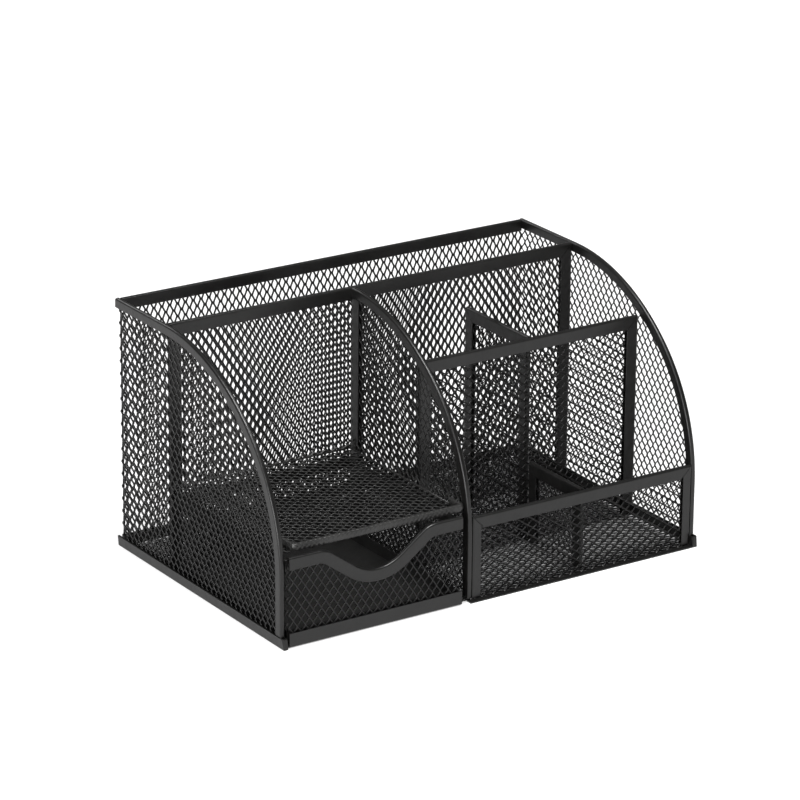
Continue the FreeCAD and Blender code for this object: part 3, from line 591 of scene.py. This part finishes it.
def seen_directly(tree, mirrored=1.0):
    """A socket for a glow that lights nothing by itself: 1 for camera and transmission rays, mirrored
    for glossy rays and 0 for all others. It is the largest of the light path's flags."""
    ray = tree.nodes.new("ShaderNodeLightPath")
    glossy = tree.nodes.new("ShaderNodeMath")
    glossy.operation = "MULTIPLY"
    glossy.inputs[1].default_value = mirrored
    tree.links.new(ray.outputs["Is Glossy Ray"], glossy.inputs[0])
    flag = ray.outputs["Is Camera Ray"]
    for other in (glossy.outputs[0], ray.outputs["Is Transmission Ray"]):
        either = tree.nodes.new("ShaderNodeMath")
        either.operation = "MAXIMUM"
        tree.links.new(flag, either.inputs[0])
        tree.links.new(other, either.inputs[1])
        flag = either.outputs[0]
    return flag


bpy.ops.mesh.primitive_plane_add(size=FLOOR_SIZE, location=(0, 0, 0))
ground = bpy.context.object
ground.name = "studio_floor"
ground_paint = bpy.data.materials.new("studio_white")
ground_paint.use_nodes = True
tree = ground_paint.node_tree
tree.nodes.clear()
output = tree.nodes.new("ShaderNodeOutputMaterial")
matt = tree.nodes.new("ShaderNodeBsdfDiffuse")
matt.inputs["Color"].default_value = (FLOOR_SHADE,) * 3 + (1,)
glow = tree.nodes.new("ShaderNodeEmission")
glow.inputs["Color"].default_value = (1, 1, 1, 1)
strength = tree.nodes.new("ShaderNodeMath")
strength.operation = "MULTIPLY"
tree.links.new(seen_directly(tree, MIRRORED_GLOW), strength.inputs[0])
# painted shadow: the glow dies away under the stand, as set by how far the place lies outside its outline
axes = tree.nodes.new("ShaderNodeSeparateXYZ")
tree.links.new(tree.nodes.new("ShaderNodeTexCoord").outputs["Object"], axes.inputs[0])
outside = tree.nodes.new("ShaderNodeMath")
outside.operation = "MAXIMUM"
for index, half in ((0, cad_box[1][0]), (1, cad_box[1][1])):
    apart = tree.nodes.new("ShaderNodeMath")
    apart.operation = "ABSOLUTE"
    beyond = tree.nodes.new("ShaderNodeMath")
    beyond.operation = "SUBTRACT"
    beyond.inputs[1].default_value = half
    tree.links.new(axes.outputs[index], apart.inputs[0])
    tree.links.new(apart.outputs[0], beyond.inputs[0])
    tree.links.new(beyond.outputs[0], outside.inputs[index])
# the painted shadow: no glow from the soft edge's width inside the outline, full glow from the outline
# outwards
painted_shadow_fade = tree.nodes.new("ShaderNodeMapRange")
painted_shadow_fade.inputs["From Min"].default_value = -PAINTED_SHADOW_EDGE
painted_shadow_fade.inputs["From Max"].default_value = 0
painted_shadow_fade.inputs["To Max"].default_value = FLOOR_GLOW
tree.links.new(outside.outputs[0], painted_shadow_fade.inputs["Value"])
tree.links.new(painted_shadow_fade.outputs["Result"], strength.inputs[1])
tree.links.new(strength.outputs[0], glow.inputs["Strength"])
both = tree.nodes.new("ShaderNodeAddShader")
tree.links.new(matt.outputs[0], both.inputs[0])
tree.links.new(glow.outputs[0], both.inputs[1])
tree.links.new(both.outputs[0], output.inputs["Surface"])
ground.data.materials.append(ground_paint)

# The surround and the lamps: white below the horizon and dark above it where it is seen or mirrored,
# a weak even light for the rest, and soft lamps at the upper left, low at the front left, overhead and
# behind.
HORIZON = 0.02
DARK_FROM = 0.16
DARK = 0.06
AMBIENT = 0.25
STAND_MIDDLE = Vector((0, 0, 0.05))
world = bpy.data.worlds.new("studio_surround")
bpy.context.scene.world = world
world.use_nodes = True
tree = world.node_tree
tree.nodes.clear()
output = tree.nodes.new("ShaderNodeOutputWorld")
white = tree.nodes.new("ShaderNodeBackground")
direction = tree.nodes.new("ShaderNodeTexCoord")
height = tree.nodes.new("ShaderNodeSeparateXYZ")
tree.links.new(direction.outputs["Generated"], height.inputs[0])
backdrop = tree.nodes.new("ShaderNodeValToRGB")
backdrop.color_ramp.elements[0].position = HORIZON
backdrop.color_ramp.elements[0].color = (1, 1, 1, 1)
backdrop.color_ramp.elements[1].position = DARK_FROM
backdrop.color_ramp.elements[1].color = (DARK,) * 3 + (1,)
tree.links.new(height.outputs["Z"], backdrop.inputs["Fac"])
tree.links.new(backdrop.outputs["Color"], white.inputs["Color"])
ambient = tree.nodes.new("ShaderNodeBackground")
ambient.inputs["Color"].default_value = (AMBIENT,) * 3 + (1,)
choice = tree.nodes.new("ShaderNodeMixShader")
tree.links.new(seen_directly(tree), choice.inputs["Fac"])
tree.links.new(ambient.outputs[0], choice.inputs[1])
tree.links.new(white.outputs[0], choice.inputs[2])
tree.links.new(choice.outputs[0], output.inputs["Surface"])


def soft_lamp(name, direction, distance, size, level):
    """A rectangular lamp aimed at the middle of the stand. Its level is the light that it gives a white
    face turned to it: radiance is power over pi and area, and the light is radiance times solid angle
    over pi."""
    lamp = bpy.data.lights.new(name, "AREA")
    lamp.shape = "RECTANGLE"
    lamp.size, lamp.size_y = size
    lamp.energy = level * (math.pi * distance) ** 2
    holder = bpy.data.objects.new(name, lamp)
    way = Vector(direction).normalized()
    holder.location = STAND_MIDDLE + distance * way
    holder.rotation_euler = (-way).to_track_quat("-Z", "Y").to_euler()
    bpy.context.collection.objects.link(holder)


soft_lamp("key_lamp", (-0.6, -0.38, 0.72), 1.5, (0.8, 0.8), 0.3)
soft_lamp("left_lamp", (-0.8, -0.55, 0.13), 1.4, (0.9, 0.3), 0.5)
soft_lamp("top_lamp", (0.04, -0.22, 0.97), 1.5, (0.6, 0.6), 1.15)
soft_lamp("back_lamp", (-0.05, 0.8, 0.55), 1.5, (0.6, 0.3), 0.15)

# The camera: its bearing and height, its tilt about its own axis, and its distance and offsets from the
# middle of the body, worked out from the photograph's edges.
bpy.context.scene.view_settings.view_transform = "Standard"
AZIMUTH = math.radians(-33.544)
ELEVATION = math.radians(20.180)
ROLL = math.radians(0.465)
DISTANCE = 1881.18 * MM
OFFSET = (4.54 * MM, -8.02 * MM)
AIM = np.array((0, -0.675, 62.5)) * MM
FOCAL_PIXELS = 4177.85
IMAGE_PIXELS = 800
back = np.array((math.sin(AZIMUTH) * math.cos(ELEVATION), -math.cos(AZIMUTH) * math.cos(ELEVATION),
                 math.sin(ELEVATION)))
level = np.cross(-back, (0, 0, 1))
level /= np.linalg.norm(level)
upright = np.cross(level, -back)
right = level * math.cos(ROLL) + upright * math.sin(ROLL)
top = upright * math.cos(ROLL) - level * math.sin(ROLL)
lens = bpy.data.cameras.new("camera")
lens.sensor_width = 36
lens.lens = FOCAL_PIXELS / IMAGE_PIXELS * lens.sensor_width
lens.clip_start = 0.05
camera = bpy.data.objects.new("camera", lens)
place = AIM + back * DISTANCE - right * OFFSET[0] - top * OFFSET[1]
turn = Matrix((right, top, back)).transposed().to_4x4()
camera.matrix_world = Matrix.Translation(place) @ turn
bpy.context.collection.objects.link(camera)
bpy.context.scene.camera = camera
